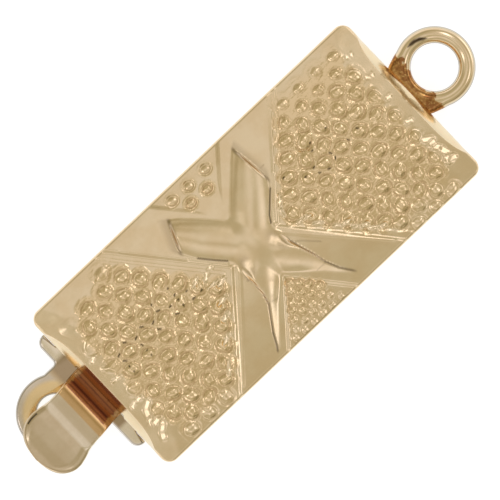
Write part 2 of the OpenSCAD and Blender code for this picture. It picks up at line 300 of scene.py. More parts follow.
def ribbons(x, y):
    """Height of the flat ribbons, their lower steps, and the web between the upper arms."""
    ribbon, step = np.zeros(x.shape), np.zeros(x.shape)
    for arm in ARMS.values():
        along, across = arm_coordinates(x, y, arm)
        inner = ease((arm["inner"] + arm["inner_slope"] - across) / arm["inner_slope"])
        outer = held((across + arm["outer"] + arm["outer_slope"]) / arm["outer_slope"])
        ledge = ease((across + arm["step"] + 0.06) / 0.10)
        ahead = np.where(along > 0.0, 1.0, 0.0)
        ribbon = np.maximum(ribbon, inner * outer * ahead)
        step = np.maximum(step, inner * ledge * ahead)
    between_arms = np.abs(x - CROSS[0]) * np.tan(ARM) < y - CROSS[1]
    web = np.where(between_arms, 0.6 + 0.4 * ease((3.0 - y) / 1.1), 0.0)
    return STEP_H * np.maximum(step, web) + (RIBBON_H - STEP_H) * np.maximum(ribbon, web)


def clear_of_cross(x, y):
    """Distance from the nearest arm's edge, negative inside it."""
    best = np.full(np.shape(x), FAR)
    for arm in ARMS.values():
        along, across = arm_coordinates(x, y, arm)
        depth = np.maximum(across - arm["inner"] - arm["inner_slope"], -across - arm["step"])
        best = np.minimum(best, np.where(along > 0.0, depth, FAR))
    return best


def border_fall(x, y):
    """Fall of the plain border below the field: grows evenly to the edge, mitred softly."""
    u = (np.abs(x) - FIELD_HX) / BORDER_W
    v = (np.abs(y) - FIELD_HY) / BORDER_W
    return soft_max(soft_max(END_DROP * u, SIDE_DROP * v, 0.008), 0.0, 0.022)


def struck(name, x, y):
    """Whether a punch struck at a place: clear of the cross, and inside its own field."""
    hit = clear_of_cross(x, y) > 0.10 * FIELDS[name]["size"]
    hit &= (y > STRUCK_Y[0]) & (y < STRUCK_Y[1]) & (np.abs(x) < STRUCK_X)
    if name == "left":
        hit &= (y < LEFT_TOP) | (np.abs(x - LONE_DOME_X) < 0.2)
        hit &= (x > LEFT_CORNER[0]) | (y > LEFT_CORNER[1])
    if name == "upper":
        hit &= y > UPPER_START
    return hit


def nearest_dome(x, y, name):
    """Distance to the nearest dome of a field, that dome's place, and three chances of its own.

    Rows are pitch_y apart, a little closer past the fourth row below the middle, every
    second row is shifted by half a pitch, and each dome is moved by a hair's breadth.
    """
    field = FIELDS[name]
    best = np.full(x.shape, FAR)
    site = [np.zeros(x.shape)] * 5
    first = np.round((y - field["y"]) / field["pitch_y"])
    for extra in (-1, 0, 1):
        row = first + extra
        low = np.minimum(row + 4, 0)
        offset = field["x"] + np.mod(row, 2) * 0.5 * field["pitch_x"] - 0.02 * row
        step = np.round((x - offset) / field["pitch_x"])
        chances = [scatter(row, step, number) for number in (1, 2, 3, 4, 5)]
        site_x = offset + step * field["pitch_x"] + 0.04 * (chances[0] - 0.5)
        site_y = field["y"] + (row - 0.16 * low) * field["pitch_y"] + 0.04 * (chances[1] - 0.5)
        distance = np.hypot(x - site_x, 1.12 * (y - site_y))
        distance = np.where(struck(name, site_x, site_y), distance, FAR)
        nearer = distance < best
        best = np.where(nearer, distance, best)
        site = [np.where(nearer, new, old) for new, old in zip((site_x, site_y, *chances[2:]), site)]
    return best, site


def punches(x, y):
    """Height of the punched domes, how much a point is dug out, and how near a dome it is.

    A punch leaves a rounded cap, 1 - (r/R)^2.2 high, inside a ring groove that eases back
    to the field, with a fine ridge round it. No two are struck quite alike: size, depth
    and tilt vary. Domes weaken towards the long sides and the left end, and stop at the
    cross.
    """
    height, dug, near = np.zeros(x.shape), np.zeros(x.shape), np.zeros(x.shape)
    sideways = np.abs(x - CROSS[0]) * np.tan(ARM) > np.abs(y - CROSS[1])
    masks = {"left": sideways & (x < 0), "right": sideways & (x >= 0),
             "upper": ~sideways & (y > 0), "lower": ~sideways & (y <= 0)}
    for name, field in FIELDS.items():
        distance, (site_x, site_y, luck, tilt_x, tilt_y) = nearest_dome(x, y, name)
        strength = fade(site_y, *WEAK_ABOVE) * fade(-site_y, *WEAK_BELOW) * fade(-site_x, *WEAK_LEFT)
        strength = strength * (0.8 + 0.4 * luck)
        turn = np.arctan2(y - site_y, x - site_x)
        wobble = 1.0 + DOME_WOBBLE * np.sin(2.0 * turn + 6.3 * tilt_x)
        size = field["size"] * (fade(site_y, *SMALL_ABOVE) if name == "right" else 1.0)
        dome_r = DOME_R * size * (0.92 + 0.16 * luck) * wobble
        groove_r = GROOVE_R * size * (0.95 + 0.12 * tilt_y)
        cap = 1.0 - held(distance / dome_r) ** 2.2
        ring = fade(distance, dome_r, groove_r - dome_r)
        lean = ((x - site_x) * (tilt_x - 0.5) + (y - site_y) * (tilt_y - 0.5)) * DOME_LEAN
        ridge = held(1.0 - ((distance - RIDGE_R * size) / RIDGE_HALF) ** 2)
        shape = size * ((GROOVE_D + DOME_H) * cap - GROOVE_D * ring) + lean * ring + RIDGE_H * ridge
        closeness = fade(distance / field["size"], *NEAR_DOME)
        closeness = closeness * fade(np.abs(y), *NEAR_SIDES) * fade(np.abs(x), *NEAR_ENDS)
        height = np.where(masks[name], shape * strength, height)
        dug = np.where(masks[name], ring, dug)
        near = np.where(masks[name], closeness, near)
    waves = ripple(0.55 * x, y, 3.1, 0.20) + ripple(x, 0.8 * y, 5.3, 0.34)
    return height + CHATTER * dug * waves, dug, near


def strip(value, dark, middle, half_width):
    """Strip of dark film over a value: level near the middle, and gone at 1.4 half widths."""
    return dark * held(1.4 - np.abs(value - middle) / half_width)


def bars(x, y):
    """Height of the two rounded bars over the ribbons, and how dark the painted shade on them is.

    Between its two feet a bar is a circle's cap, 1 - v^2 across, whose crest may stand
    nearer to one foot, with a fold on that side. Where the bars cross, they meet in soft
    valleys. Their upper ends are cut off steeply.
    """
    both = []
    film_and_shade = np.zeros(x.shape)
    for name, table in BARS.items():
        along, across = arm_coordinates(x, y, ARMS[name])
        low, high, crest, height, square = (np.interp(along, table["along"], table[key])
                                            for key in BAR_COLUMNS[1:])
        end, slant = BAR_ENDS[name]
        before_end = end + slant * across - along
        reach = ease(before_end / BAR_END_W)
        part = (2.0 * across - low - high) / (high - low)
        outer_side = part > np.where(crest > 0.0, crest, FAR)
        v = np.abs(part - crest) / np.where(outer_side, 1.0 - crest, 1.0 + crest)
        cap = 1.0 - v ** np.where(outer_side, 2.0, square)
        missing = fade(height * reach, 0.0, 0.12)
        both.append(BAR_H * height * reach * cap - BAR_SINK - 0.2 * missing)
        inside = ease((1.15 - np.abs(part)) / 0.2)
        folded = ease((crest - 0.3) / 0.3) * ease(height / 0.1)
        # Painted shade: a dark line on the end's steep cut, a softer painted shadow past it, and a dark
        # line on the fold's steep face
        dark, middle, half_width = SOFT_SHADOW
        soft = dark * ease(1.0 - np.abs(before_end - middle) / half_width)
        for layer in (inside * strip(before_end, *END_SHADE), inside * soft,
                      folded * strip(across - high, *FOLD_SHADE)):
            film_and_shade = np.maximum(film_and_shade, layer)
    return soft_max(soft_max(*both, 0.16), 0.0, 0.03), film_and_shade


def away_from(x, y, points):
    """Distance from a line of points."""
    best = np.full(np.shape(x), FAR)
    for (ax, ay), (bx, by) in zip(points[:-1], points[1:]):
        length = np.hypot(bx - ax, by - ay)
        part = held(((x - ax) * (bx - ax) + (y - ay) * (by - ay)) / length ** 2)
        best = np.minimum(best, np.hypot(x - ax - part * (bx - ax), y - ay - part * (by - ay)))
    return best


def drawn_line(x, y, points, half_width, reach=1.5):
    """Mask of a line of points: 1 along it, and 0 past reach times its half width."""
    return held(reach - away_from(x, y, points) / half_width)


def fine_lines(x, y):
    """Height of the fine ridges and grooves, 1 - (d/w)^1.3 over the distance d from a line."""
    total = np.zeros(x.shape)
    for line in LINES:
        away = away_from(x, y, line["points"]) / line["half_width"]
        total = total + line["height"] * held(1.0 - away ** 1.3)
    return total


def grazes(x, y):
    """Height of the graze marks, small planes that all face the same way, and their mask.

    A plane's slopes in X and Y, with those of the border and the camber, add up to a fall
    of GRAZE_FALL away from the middle of the cover and towards its upper side.
    """
    total = np.zeros(x.shape)
    nearest = np.full(x.shape, FAR)
    for half_width, points in GRAZES:
        for start, stop in zip(points[:-1], points[1:]):
            away = away_from(x, y, (start, stop)) / half_width
            middle = (np.array(start) + np.array(stop)) / 2.0
            border = END_DROP / BORDER_W if abs(middle[0]) > FIELD_HX else 0.0
            fall_x = np.sign(middle[0]) * (GRAZE_FALL[0] - border)
            fall_y = GRAZE_FALL[1] - 2.0 * CAMBER * middle[1] / HALF_W ** 2
            plane = -fall_x * (x - middle[0]) - fall_y * (y - middle[1])
            total = np.where(away < nearest, plane * held((1.25 - away) / 0.5), total)
            nearest = np.minimum(nearest, away)
    return total, ease((1.9 - nearest) / 0.7)


def shade_and_speck_marks(x, y):
    """How dark the painted shade on the bars, in the creases and in the saddles, and the dark specks are,
    from 0 to 1.
    """
    total = bars(x, y)[1]
    for line in LINES:
        if line["shade_and_specks"] > 0.0:
            crease = drawn_line(x, y, line["points"], line["half_width"], 1.3)
            total = np.maximum(total, line["shade_and_specks"] * crease)
    # Painted shade over the saddles' bright reflections
    for place_x, place_y in SADDLE_SHADES:
        away = np.hypot(x - place_x, y - place_y)
        total = np.maximum(total, SADDLE_SHADE_DARK * ease(1.0 - away / SADDLE_SHADE_R))
    for place_x, place_y, turn, half_length in SPECKS:
        reach_x, reach_y = half_length * np.cos(np.radians(turn)), half_length * np.sin(np.radians(turn))
        ends = ((place_x - reach_x, place_y - reach_y), (place_x + reach_x, place_y + reach_y))
        total = np.maximum(total, drawn_line(x, y, ends, SPECK_HALF))
    return total


def cover_height(x, y):
    """Height of the cover's upper side above the table at each point, and the punched mask."""
    domes, dug, near = punches(x, y)
    planes, grazed = grazes(x, y)
    clean = 1.0 - grazed
    z = FIELD_Z - border_fall(x, y) + domes * clean + (ribbons(x, y) + bars(x, y)[0]) * (1.0 - dug)
    z = z + fine_lines(x, y) + planes - CAMBER * (y / HALF_W) ** 2
    border = sum(ease((np.abs(t) - start) / 0.4) for t, start in zip((x, y), BORDER_WAVES_START))
    z = z + SHEET_WAVES * ripple(x, y, 0.7, 1.9) + BORDER_WAVES * border * ripple(x, y, 2.2, 0.9)
    return z, near * clean


def to_frame(points):
    """Millimetres over the middle of the cover to metres in the CAD frame."""
    return (np.asarray(points, float) + np.array([SHIFT_X, 0.0, 0.0])) * MM


def in_metres(*lengths):
    """Lengths in millimetres as metres."""
    return [length * MM for length in lengths]


def along_x(*places):
    """Places along X in millimetres over the cover's middle, as metres in the frame."""
    return in_metres(*(place + SHIFT_X for place in places))


def new_piece(name, points, faces, outward=False):
    """Mesh object from points in millimetres and arrays of faces, three or four corners each."""
    mesh = bpy.data.meshes.new(name)
    corners = np.concatenate([f.reshape(-1) for f in faces])
    sizes = np.concatenate([np.full(len(f), f.shape[1]) for f in faces])
    mesh.vertices.add(len(points))
    mesh.vertices.foreach_set("co", to_frame(points).astype(np.float32).reshape(-1))
    mesh.loops.add(len(corners))
    mesh.loops.foreach_set("vertex_index", corners.astype(np.int32))
    mesh.polygons.add(len(sizes))
    mesh.polygons.foreach_set("loop_start", np.concatenate([[0], np.cumsum(sizes)[:-1]]).astype(np.int32))
    mesh.update(calc_edges=True)
    mesh.validate()
    if outward:
        work = bmesh.new()
        work.from_mesh(mesh)
        bmesh.ops.recalc_face_normals(work, faces=work.faces)
        work.to_mesh(mesh)
        work.free()
    mesh.polygons.foreach_set("use_smooth", np.ones(len(mesh.polygons), bool))
    piece = bpy.data.objects.new(name, mesh)
    bpy.context.scene.collection.objects.link(piece)
    return piece


def mark(piece, name, mask):
    """Write a mask as a named attribute of the piece's first points, with 0 on the others."""
    value = np.zeros(len(piece.data.vertices), np.float32)
    value[:mask.size] = mask.reshape(-1)
    piece.data.attributes.new(name, "FLOAT", "POINT").data.foreach_set("value", value)


def grid_faces(index, wrap_rows=False, wrap_columns=False):
    """Quads between the neighbouring rows and columns of an array of vertex numbers."""
    if wrap_rows:
        index = np.concatenate([index, index[:1]], 0)
    if wrap_columns:
        index = np.concatenate([index, index[:, :1]], 1)
    quads = [index[:-1, :-1], index[1:, :-1], index[1:, 1:], index[:-1, 1:]]
    return np.stack(quads, -1).reshape(-1, 4)


def rounded_plan(u, v, half_x, half_y, radius):
    """Unit square on to a rectangle with round corners.

    Up to SPLIT a side runs straight; past it the corner's square is squeezed into a
    quarter disc by x * sqrt(1 - y^2 / 2) and y * sqrt(1 - x^2 / 2).
    """
    cu, cv = (held((np.abs(t) - split) / (1.0 - split)) for t, split in zip((u, v), SPLIT))
    x = held(np.abs(u) / SPLIT[0]) * (half_x - radius) + radius * cu * np.sqrt(1.0 - cv * cv / 2.0)
    y = held(np.abs(v) / SPLIT[1]) * (half_y - radius) + radius * cv * np.sqrt(1.0 - cu * cu / 2.0)
    return np.sign(u) * x, np.sign(v) * y


# Steps of the grid over the cover's top along X and Y
COLUMNS = 376
ROWS = 172

# The cover's wall leans in above some level in an arc: above LEAN_Z at its two ends, and
# SIDE_FALL below the fold elsewhere. Its tilt in degrees at the fold and at that level.
LEAN_Z = 1.64
LEAN_ENDS = (50.0, 62.0)
LEAN_SIDES = (20.0, 88.0)

# Rings of points round the cover: shares of the way down to the first level, the levels,
# inset and height of the foot's rings, and inset and depth of the ceiling's
SHOULDER_STEPS = (0.03, 0.10, 0.20, 0.34, 0.52, 0.74)
WALL_LEVELS = (1.72, 1.60, 1.48, 1.43, 1.30, 0.35, 0.16)
FOOT_STEPS = ((0.02, 0.02), (0.05, 0.0), (SHEET_T - 0.05, 0.0), (SHEET_T - 0.02, 0.02))
CEILING_STEPS = ((0.03, 0.20), (0.10, 0.07), (0.25, 0.0))
OUTER_FIRST = 1 + len(SHOULDER_STEPS)
INNER_LAST = OUTER_FIRST + 2 * len(WALL_LEVELS) + len(FOOT_STEPS) - 1

# Openings: side of X, middle and half width along Y, and upper and lower level. The neck's
# notch is open at the foot.
OPENINGS = {"mouth": (-1, 0.0, 2.6, 1.30, 0.35), "strap's notch": (-1, 0.0, 1.36, 1.72, 1.30),
            "neck's notch": (1, 0.2, 1.2, 1.43, None)}


def shoulder(fall, start, stop):
    """Way out along the wall's arc for a share of its fall: (sin a - sin a0) / (sin a1 - sin a0).

    The angle a comes from the fall: cos a = cos a0 - fall * (cos a0 - cos a1).
    """
    turn = np.arccos(np.cos(start) - fall * (np.cos(start) - np.cos(stop)))
    return (np.sin(turn) - np.sin(start)) / (np.sin(stop) - np.sin(start))


def wall_rings(edge, edge_u, edge_v):
    """Rings of points from the top's edge down the outer wall, round the foot and up inside.

    The outer wall follows the arc of shoulder() from the edge to the foot's outline. Also
    gives the middles of the foot's sides.
    """
    def outline(inset, level):
        radius = max(CORNER_R - inset, 0.06)
        x, y = rounded_plan(edge_u, edge_v, HALF_L - inset, HALF_W - inset, radius)
        return np.stack([x, y, np.full(x.shape, level)], -1)

    height = edge[:, 2]
    foot = outline(0.0, FOOT_Z)
    at_end = ease((np.abs(edge_u) - 0.97) / 0.03) * ease((0.84 - np.abs(edge_v)) / 0.12)
    tilts = [np.radians(a + (b - a) * at_end) for a, b in zip(LEAN_SIDES, LEAN_ENDS)]
    whole_fall = SIDE_FALL + (height - LEAN_Z - SIDE_FALL) * at_end
    levels = [height + (WALL_LEVELS[0] - height) * share for share in SHOULDER_STEPS]
    rings = [edge]
    for level in (*levels, *WALL_LEVELS):
        fall = held((height - level) / whole_fall)
        ring = edge + (foot - edge) * shoulder(fall, *tilts)[:, None]
        ring[:, 2] = level
        rings.append(ring)
    rings += [outline(inset, FOOT_Z + lift) for inset, lift in FOOT_STEPS]
    rings += [outline(SHEET_T, level) for level in reversed(WALL_LEVELS)]
    rings += [outline(SHEET_T + inset, CEILING_Z - drop) for inset, drop in CEILING_STEPS]
    return np.stack(rings), (foot + np.roll(foot, -1, 0)) / 2.0


def kept_walls(middle, steps):
    """Which faces of the rings stay where the openings are cut through both walls."""
    kept = np.ones((steps, len(middle)), bool)
    for side, middle_y, half_width, high, low in OPENINGS.values():
        columns = (side * middle[:, 0] > HALF_L - 0.1) & (np.abs(middle[:, 1] - middle_y) < half_width)
        top = WALL_LEVELS.index(high)
        if low is None:
            kept[OUTER_FIRST + top:INNER_LAST - top][:, columns] = False
        else:
            bottom = WALL_LEVELS.index(low)
            kept[OUTER_FIRST + top:OUTER_FIRST + bottom][:, columns] = False
            kept[INNER_LAST - bottom:INNER_LAST - top][:, columns] = False
    return kept


def reveals(kept, number):
    """Faces that join the outer and the inner wall round the openings: flat, then upright."""
    faces = []
    for outer in range(OUTER_FIRST, OUTER_FIRST + len(WALL_LEVELS)):
        inner = OUTER_FIRST + INNER_LAST - outer
        for j in np.nonzero(kept[outer - 1] != kept[outer])[0]:
            faces.append([number[outer, j], number[outer, j + 1], number[inner, j + 1], number[inner, j]])
    for outer in range(OUTER_FIRST, (OUTER_FIRST + INNER_LAST + 1) // 2):
        inner = OUTER_FIRST + INNER_LAST - outer - 1
        for j in np.nonzero(kept[outer] != np.roll(kept[outer], 1))[0]:
            faces.append([number[outer, j], number[outer + 1, j], number[inner, j], number[inner + 1, j]])
    return np.array(faces)


def cover_piece():
    """The stamped cover as one closed shell.

    A grid over the top follows cover_height. Its edge loop is carried down the outer wall,
    round the foot and up the inner wall to the ceiling, which is a fan. The mouth, the
    strap's notch and the neck's notch are windows through both walls.
    """
    u, v = np.meshgrid(np.linspace(-1, 1, COLUMNS + 1), np.linspace(-1, 1, ROWS + 1))
    inset = END_ROUND * np.clip(1.0 - np.abs(v * HALF_W / END_ROUND_HY) ** 5, 0.2, 1.0)
    x, y = rounded_plan(u, v, HALF_L - inset, HALF_W - SIDE_ROUND, TOP_CORNER_R)
    z, near = cover_height(x, y)
    top = np.stack([x, y, z], -1).reshape(-1, 3)
    number = np.arange(x.size).reshape(x.shape)
    loop = np.concatenate([number[0, :-1], number[:-1, -1], number[-1, :0:-1], number[:0:-1, 0]])
    rings, middle = wall_rings(top[loop], u.reshape(-1)[loop], v.reshape(-1)[loop])
    steps, count = len(rings) - 1, len(loop)
    ring_number = np.concatenate([loop[None], top.shape[0] + np.arange(steps * count).reshape(-1, count)])
    kept = kept_walls(middle, steps)
    cuts = reveals(kept, np.concatenate([ring_number, ring_number[:, :1]], 1))
    sides = grid_faces(ring_number, wrap_columns=True).reshape(steps, count, 4)[kept]
    points = np.concatenate([top, rings[1:].reshape(-1, 3), [[0.0, 0.0, CEILING_Z]]])
    inner_loop = ring_number[-1]
    fan = np.stack([inner_loop, np.roll(inner_loop, -1), np.full(count, len(points) - 1)], -1)
    piece = new_piece("cover_shell", points, [grid_faces(number), sides, cuts, fan], outward=True)
    beside = (np.roll(z, 3, 0) + np.roll(z, -3, 0) + np.roll(z, 3, 1) + np.roll(z, -3, 1)) / 4.0
    mark(piece, "hollow", near * held((beside - z) / 0.035))
    mark(piece, "punched", near)
    mark(piece, "bars", ease(bars(x, y)[0] / 0.04))
    # Painted shade on the bars, in creases and in the saddles, and dark specks
    mark(piece, "shade_and_specks", shade_and_speck_marks(x, y))
    return piece


def finish_piece(piece, body, slot, material, *nodes):
    """Material, body and replaced CAD nodes of one piece. The slot argument is not used."""
    piece.data.materials.append(material)
    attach(piece, body)
    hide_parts(*nodes)


def plate_piece(name, outline, holes, low, high, rounding):
    """Flat plate: each edge loop is carried round a half-round edge, its faces are filled.

    At the angle a the edge stands back by rounding * (1 - cos a) and rises by its sine.
    """
    loops = [np.asarray(outline)] + [np.asarray(h)[::-1] for h in holes]
    steps = np.radians(np.linspace(-90, 90, 9))
    middle, straight = (low + high) / 2.0, (high - low) / 2.0 - rounding
    points, faces, rims, caps = [], [], [], {0: [], -1: []}
    start = 0
    for loop in loops:
        side = np.roll(loop, -1, 0) - np.roll(loop, 1, 0)
        normal = np.stack([side[:, 1], -side[:, 0]], -1)
        normal /= np.linalg.norm(normal, axis=1, keepdims=True)
        rings = []
        for a in steps:
            plan = loop - normal * rounding * (1.0 - np.cos(a))
            level = middle + np.sign(a) * straight + rounding * np.sin(a)
            rings.append(np.column_stack([plan, np.full(len(loop), level)]))
        number = start + np.arange(len(steps) * len(loop)).reshape(len(steps), len(loop))
        points.append(np.concatenate(rings))
        rims.append(np.repeat(ease(2.0 * np.cos(steps)), len(loop)))
        faces.append(grid_faces(number, wrap_columns=True))
        for cap in caps:
            caps[cap].append((number[cap], rings[cap]))
        start += number.size
    for cap in caps.values():
        numbers = np.concatenate([n for n, _ in cap])
        triangles = tessellate_polygon([[Vector(p) for p in ring] for _, ring in cap])
        faces.append(numbers[np.array(triangles)])
    piece = new_piece(name, np.concatenate(points), faces, outward=True)
    mark(piece, "rim", np.concatenate(rims))
    return piece


def arc(centre, radius, start, stop, count):
    """Points along an arc, angles in degrees."""
    a = np.radians(np.linspace(start, stop, count))
    return np.column_stack([centre[0] + radius * np.cos(a), centre[1] + radius * np.sin(a)])


# The tongue plate: blade, shoulder, neck and flat ring
PLATE_Z = (tongue_low[2], tongue_high[2])
BLADE_END = tongue_high[0] - SHIFT_X
RING_D = 3.18
RING_X = tongue_low[0] - SHIFT_X + RING_D / 2
RING_Y = 0.58
RING_HOLE_D = 1.49
RING_NECK = 2.86
BLADE_W = 4.7
BLADE_Y = 0.2
SHOULDER_W = tongue_high[1] - tongue_low[1]
SHOULDER_Y = (tongue_high[1] + tongue_low[1]) / 2
SHOULDER_X = -HALF_L - 0.05
SHOULDER_OUT = 0.45
SHOULDER_R = 0.38
NECK_ROUND = 0.14
PLATE_ROUND = 0.12


def tongue_piece():
    """Sliding plate: straight blade, round-cornered shoulder, and the ring on its neck."""
    out_x = SHOULDER_X - SHOULDER_OUT
    low_y, high_y = SHOULDER_Y - SHOULDER_W / 2, SHOULDER_Y + SHOULDER_W / 2
    blade_low, blade_high = BLADE_Y - BLADE_W / 2, BLADE_Y + BLADE_W / 2
    half_open = np.degrees(np.arcsin(RING_NECK / RING_D))
    centre_x, neck_x = out_x + SHOULDER_R, out_x - NECK_ROUND
    outline = np.concatenate([
        [[BLADE_END, blade_low], [SHOULDER_X, blade_low], [SHOULDER_X, low_y + 0.02]],
        arc((centre_x, low_y + SHOULDER_R), SHOULDER_R, 270, 180, 10),
        arc((neck_x, RING_Y - RING_NECK / 2 - NECK_ROUND), NECK_ROUND, 0, 90, 5),
        arc((RING_X, RING_Y), RING_D / 2, 360 - half_open, half_open, 90),
        arc((neck_x, RING_Y + RING_NECK / 2 + NECK_ROUND), NECK_ROUND, 270, 360, 5),
        arc((centre_x, high_y - SHOULDER_R), SHOULDER_R, 180, 90, 10),
        [[SHOULDER_X, high_y - 0.02], [SHOULDER_X, blade_high], [BLADE_END, blade_high]]])
    hole = arc((RING_X, RING_Y), RING_HOLE_D / 2, 0, 360 * 71 / 72, 72)
    return plate_piece("tongue", outline[::-1], [hole], *PLATE_Z, PLATE_ROUND)


# The spring leaf: thickness, thumb tab, how wide the rounded rims of the tab and the strap
# are, a painted dark reflection on the tab's rim, end of the strap, spring and fold, and the
# upper and lower edge of the tab and the strap at places along X
LEAF_T = 0.30
TAB_TIP_X = leaf_low[0] - SHIFT_X + 0.03
TAB_ROUND = 1.2
TAB_RIM = 0.40
TAB_RIM_X = -10.2
STRAP_RIM = 0.09
TAB_DARK_REFLECTION = ((-11.32, 1.03), (-11.10, 1.08), (-10.82, 1.08))
STRAP_END = -8.1
SPRING_HALF = 2.2
SPRING_Z = 1.07
FOLD_X = 4.25
FOLD_R = 0.26
FOLD_POINTS = 13
LEAF_EDGES = dict(zip(("x", "upper", "lower"), np.array((
    (-12.1, 1.20, -1.60), (-11.2, 1.21, -1.61), (-10.9, 1.21, -1.58), (-10.6, 1.18, -1.50),
    (-10.35, 1.14, -1.41), (-10.1, 1.11, -1.35), (-9.8, 1.12, -1.31), (-9.5, 1.16, -1.29),
    (-9.2, 1.21, -1.25), (-8.9, 1.25, -1.21), (-8.6, 1.27, -1.19), (-8.0, 1.27, -1.19))).T))


def leaf_path():
    """Middle line of the leaf as x, z: tab, crest, steep strap, spring, and half-round fold."""
    knots = np.array([
        [TAB_TIP_X, 2.13], [TAB_TIP_X + 0.3, 2.19], [-11.35, 2.215], [-10.75, 2.235], [-10.33, 2.235],
        [-10.18, 2.225], [-9.90, 2.20], [-9.56, 2.15], [-9.38, 2.07], [-9.16, 1.86], [-8.86, 1.60],
        [-8.66, 1.52], [-8.45, 1.50], [STRAP_END, 1.495], [3.2, SPRING_Z], [FOLD_X, SPRING_Z]])
    even = np.arange(knots[0, 0], -8.0, 0.02)
    level = np.interp(even, *knots.T)
    for _ in range(12):
        level[1:-1] = (level[:-2] + 2.0 * level[1:-1] + level[2:]) / 4.0
    x = np.concatenate([TAB_TIP_X + TAB_ROUND * np.linspace(0.0, 1.0, 60) ** 2,
                        np.arange(TAB_TIP_X + 1.22, STRAP_END, 0.025),
                        [STRAP_END, STRAP_END + 0.012], np.linspace(-8.0, FOLD_X, 24)])
    z = np.where(x < STRAP_END, np.interp(x, even, level), np.interp(x, *knots.T))
    turn = arc((FOLD_X, SPRING_Z - FOLD_R), FOLD_R, 90, -90, FOLD_POINTS + 1)[1:]
    return np.concatenate([np.column_stack([x, z]), turn])


def leaf_width(x):
    """Half width and sideways place of the leaf at x: round tab, strap, wide spring.

    The tab's tip is the curve |y/a|^2.7 + |x/b|^2.3 = 1.
    """
    upper, lower = (np.interp(x, LEAF_EDGES["x"], LEAF_EDGES[key]) for key in ("upper", "lower"))
    from_tip = held((x - TAB_TIP_X) / TAB_ROUND)
    tip = held(1.0 - (1.0 - from_tip) ** 2.3) ** (1.0 / 2.7)
    inside = x > STRAP_END + 0.005
    half = np.where(inside, SPRING_HALF, (upper - lower) / 2.0 * tip)
    return half, np.where(inside, 0.0, (upper + lower) / 2.0)


def leaf_piece():
    """The folded leaf: a flat section with round edges carried along its path.

    Round the section by the angle a, a point lies |cos a|^0.38 of the half width out. The
    sheet's two sides roll towards each other in a quarter circle beside the edges, the
    upper one more, and over a wider rim on the tab.
    """
    path = leaf_path()
    run = np.concatenate([[0.0], np.cumsum(np.hypot(*np.diff(path, axis=0).T))])
    tangent = np.gradient(path, run, axis=0)
    tangent /= np.linalg.norm(tangent, axis=1, keepdims=True)
    normal = np.column_stack([-tangent[:, 1], tangent[:, 0]])
    folded = np.arange(len(path)) >= len(path) - FOLD_POINTS
    half, centre = leaf_width(path[:, 0])
    half = np.where(folded, SPRING_HALF, np.maximum(half, 0.02))
    centre = np.where(folded, 0.0, centre)
    rim = STRAP_RIM + (TAB_RIM - STRAP_RIM) * ease((TAB_RIM_X - path[:, 0]) / 0.3)
    turn = np.linspace(0, 2 * np.pi, 72, endpoint=False)
    across = np.sign(np.cos(turn)) * np.abs(np.cos(turn)) ** 0.38
    up = np.sign(np.sin(turn))
    y = across[None] * half[:, None]
    from_edge = held((half[:, None] - np.abs(y)) / np.minimum(rim, half)[:, None])
    roll = np.sqrt(held(1.0 - (1.0 - from_edge) ** 2))
    thick = LEAF_T / 2 * np.where(up[None] > 0, roll, np.sqrt(roll)) * up[None]
    x = path[:, :1] + normal[:, :1] * thick
    z = path[:, 1:] + normal[:, 1:] * thick
    points = np.stack([x, y + centre[:, None], z], -1)
    number = np.arange(points[..., 0].size).reshape(points.shape[:2])
    flat = points.reshape(-1, 3)
    faces = [grid_faces(number, wrap_columns=True)]
    for ring, middle in ((number[0], len(flat)), (number[-1], len(flat) + 1)):
        faces.append(np.stack([ring, np.roll(ring, -1), np.full(len(ring), middle)], -1))
    ends = [points[0].mean(0), points[-1].mean(0)]
    piece = new_piece("spring", np.concatenate([flat, ends]), faces, outward=True)
    # A painted dark reflection along the tab's upper rim
    mark(piece, "shade_and_specks", drawn_line(flat[:, 0], flat[:, 1], TAB_DARK_REFLECTION, 0.025))
    return piece


# The eyelet: middle, wire, the neck of solder that reaches into the end wall, the angle in
# radians that is drawn out to it and how softly that begins, and a painted dark reflection
# on the wire's top
EYELET = np.array([9.88, 0.2, 1.1])
WIRE_R = 0.34
EYELET_R = 1.28
NECK_X = 8.05
NECK_HALF = 1.08
NECK_H = 0.24
NECK_TURN = 1.18
NECK_SOFT = 0.42
EYELET_DARK_REFLECTION = ((9.66, 1.50), (9.98, 1.48), (10.20, 1.40), (10.42, 1.25))

# The end wall: gap to the cover's inside, thickness, and its lower and upper edge
WALL_GAP = 0.05
END_WALL_T = 0.3
END_WALL_Z = (0.35, 1.6)


